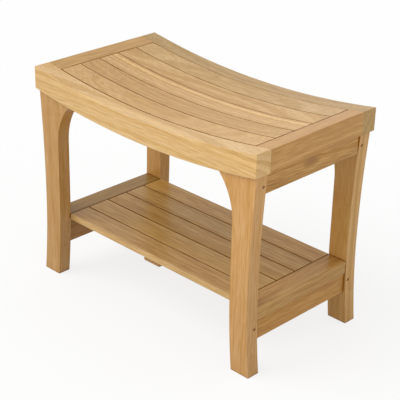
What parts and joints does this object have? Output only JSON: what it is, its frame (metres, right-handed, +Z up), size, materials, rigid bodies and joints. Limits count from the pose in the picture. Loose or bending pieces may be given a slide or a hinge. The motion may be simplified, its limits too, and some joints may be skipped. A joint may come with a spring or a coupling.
{
  "type": "slatted shower bench",
  "caption": "Free-standing teak shower bench with a curved slatted seat on sabre legs and a flat slatted shelf between them.",
  "frame": {"origin": "on the floor, under the middle of the seat", "axes": "+X along the bench to the right, +Y from front to back, +Z up"},
  "size_m": [0.602, 0.33, 0.457],
  "materials": {
    "seat_rail_teak": "oiled satin",
    "seat_board_teak": "oiled satin",
    "leg_teak": "oiled satin",
    "side_rail_teak": "oiled satin",
    "shelf_teak": "oiled satin",
    "batten_teak": "sawn, oiled",
    "peg_teak": "end grain, oiled",
    "screw_brass": "satin"
  },
  "bodies": {
    "root": {"front_seat_rail": "seat_rail_teak", "back_seat_rail": "seat_rail_teak", "left_seat_end_rail": "side_rail_teak", "right_seat_end_rail": "side_rail_teak", "seat_board_1": "seat_board_teak", "seat_board_2": "seat_board_teak", "seat_board_3": "seat_board_teak", "seat_board_4": "seat_board_teak", "seat_board_5": "seat_board_teak", "seat_batten": "batten_teak", "front_left_leg": "leg_teak", "front_right_leg": "leg_teak", "back_left_leg": "leg_teak", "back_right_leg": "leg_teak", "left_apron": "side_rail_teak", "right_apron": "side_rail_teak", "left_lower_rail": "side_rail_teak", "right_lower_rail": "side_rail_teak", "left_shelf_end_rail": "shelf_teak", "right_shelf_end_rail": "shelf_teak", "shelf_board_1": "shelf_teak", "shelf_board_2": "shelf_teak", "shelf_board_3": "shelf_teak", "shelf_board_4": "shelf_teak", "shelf_board_5": "shelf_teak", "shelf_batten": "batten_teak", "apron_pegs": "peg_teak", "lower_rail_pegs": "peg_teak", "seat_batten_screws": "screw_brass", "shelf_batten_screws": "screw_brass", "apron_screws": "screw_brass", "lower_rail_screws": "screw_brass"}
  },
  "joints": []
}
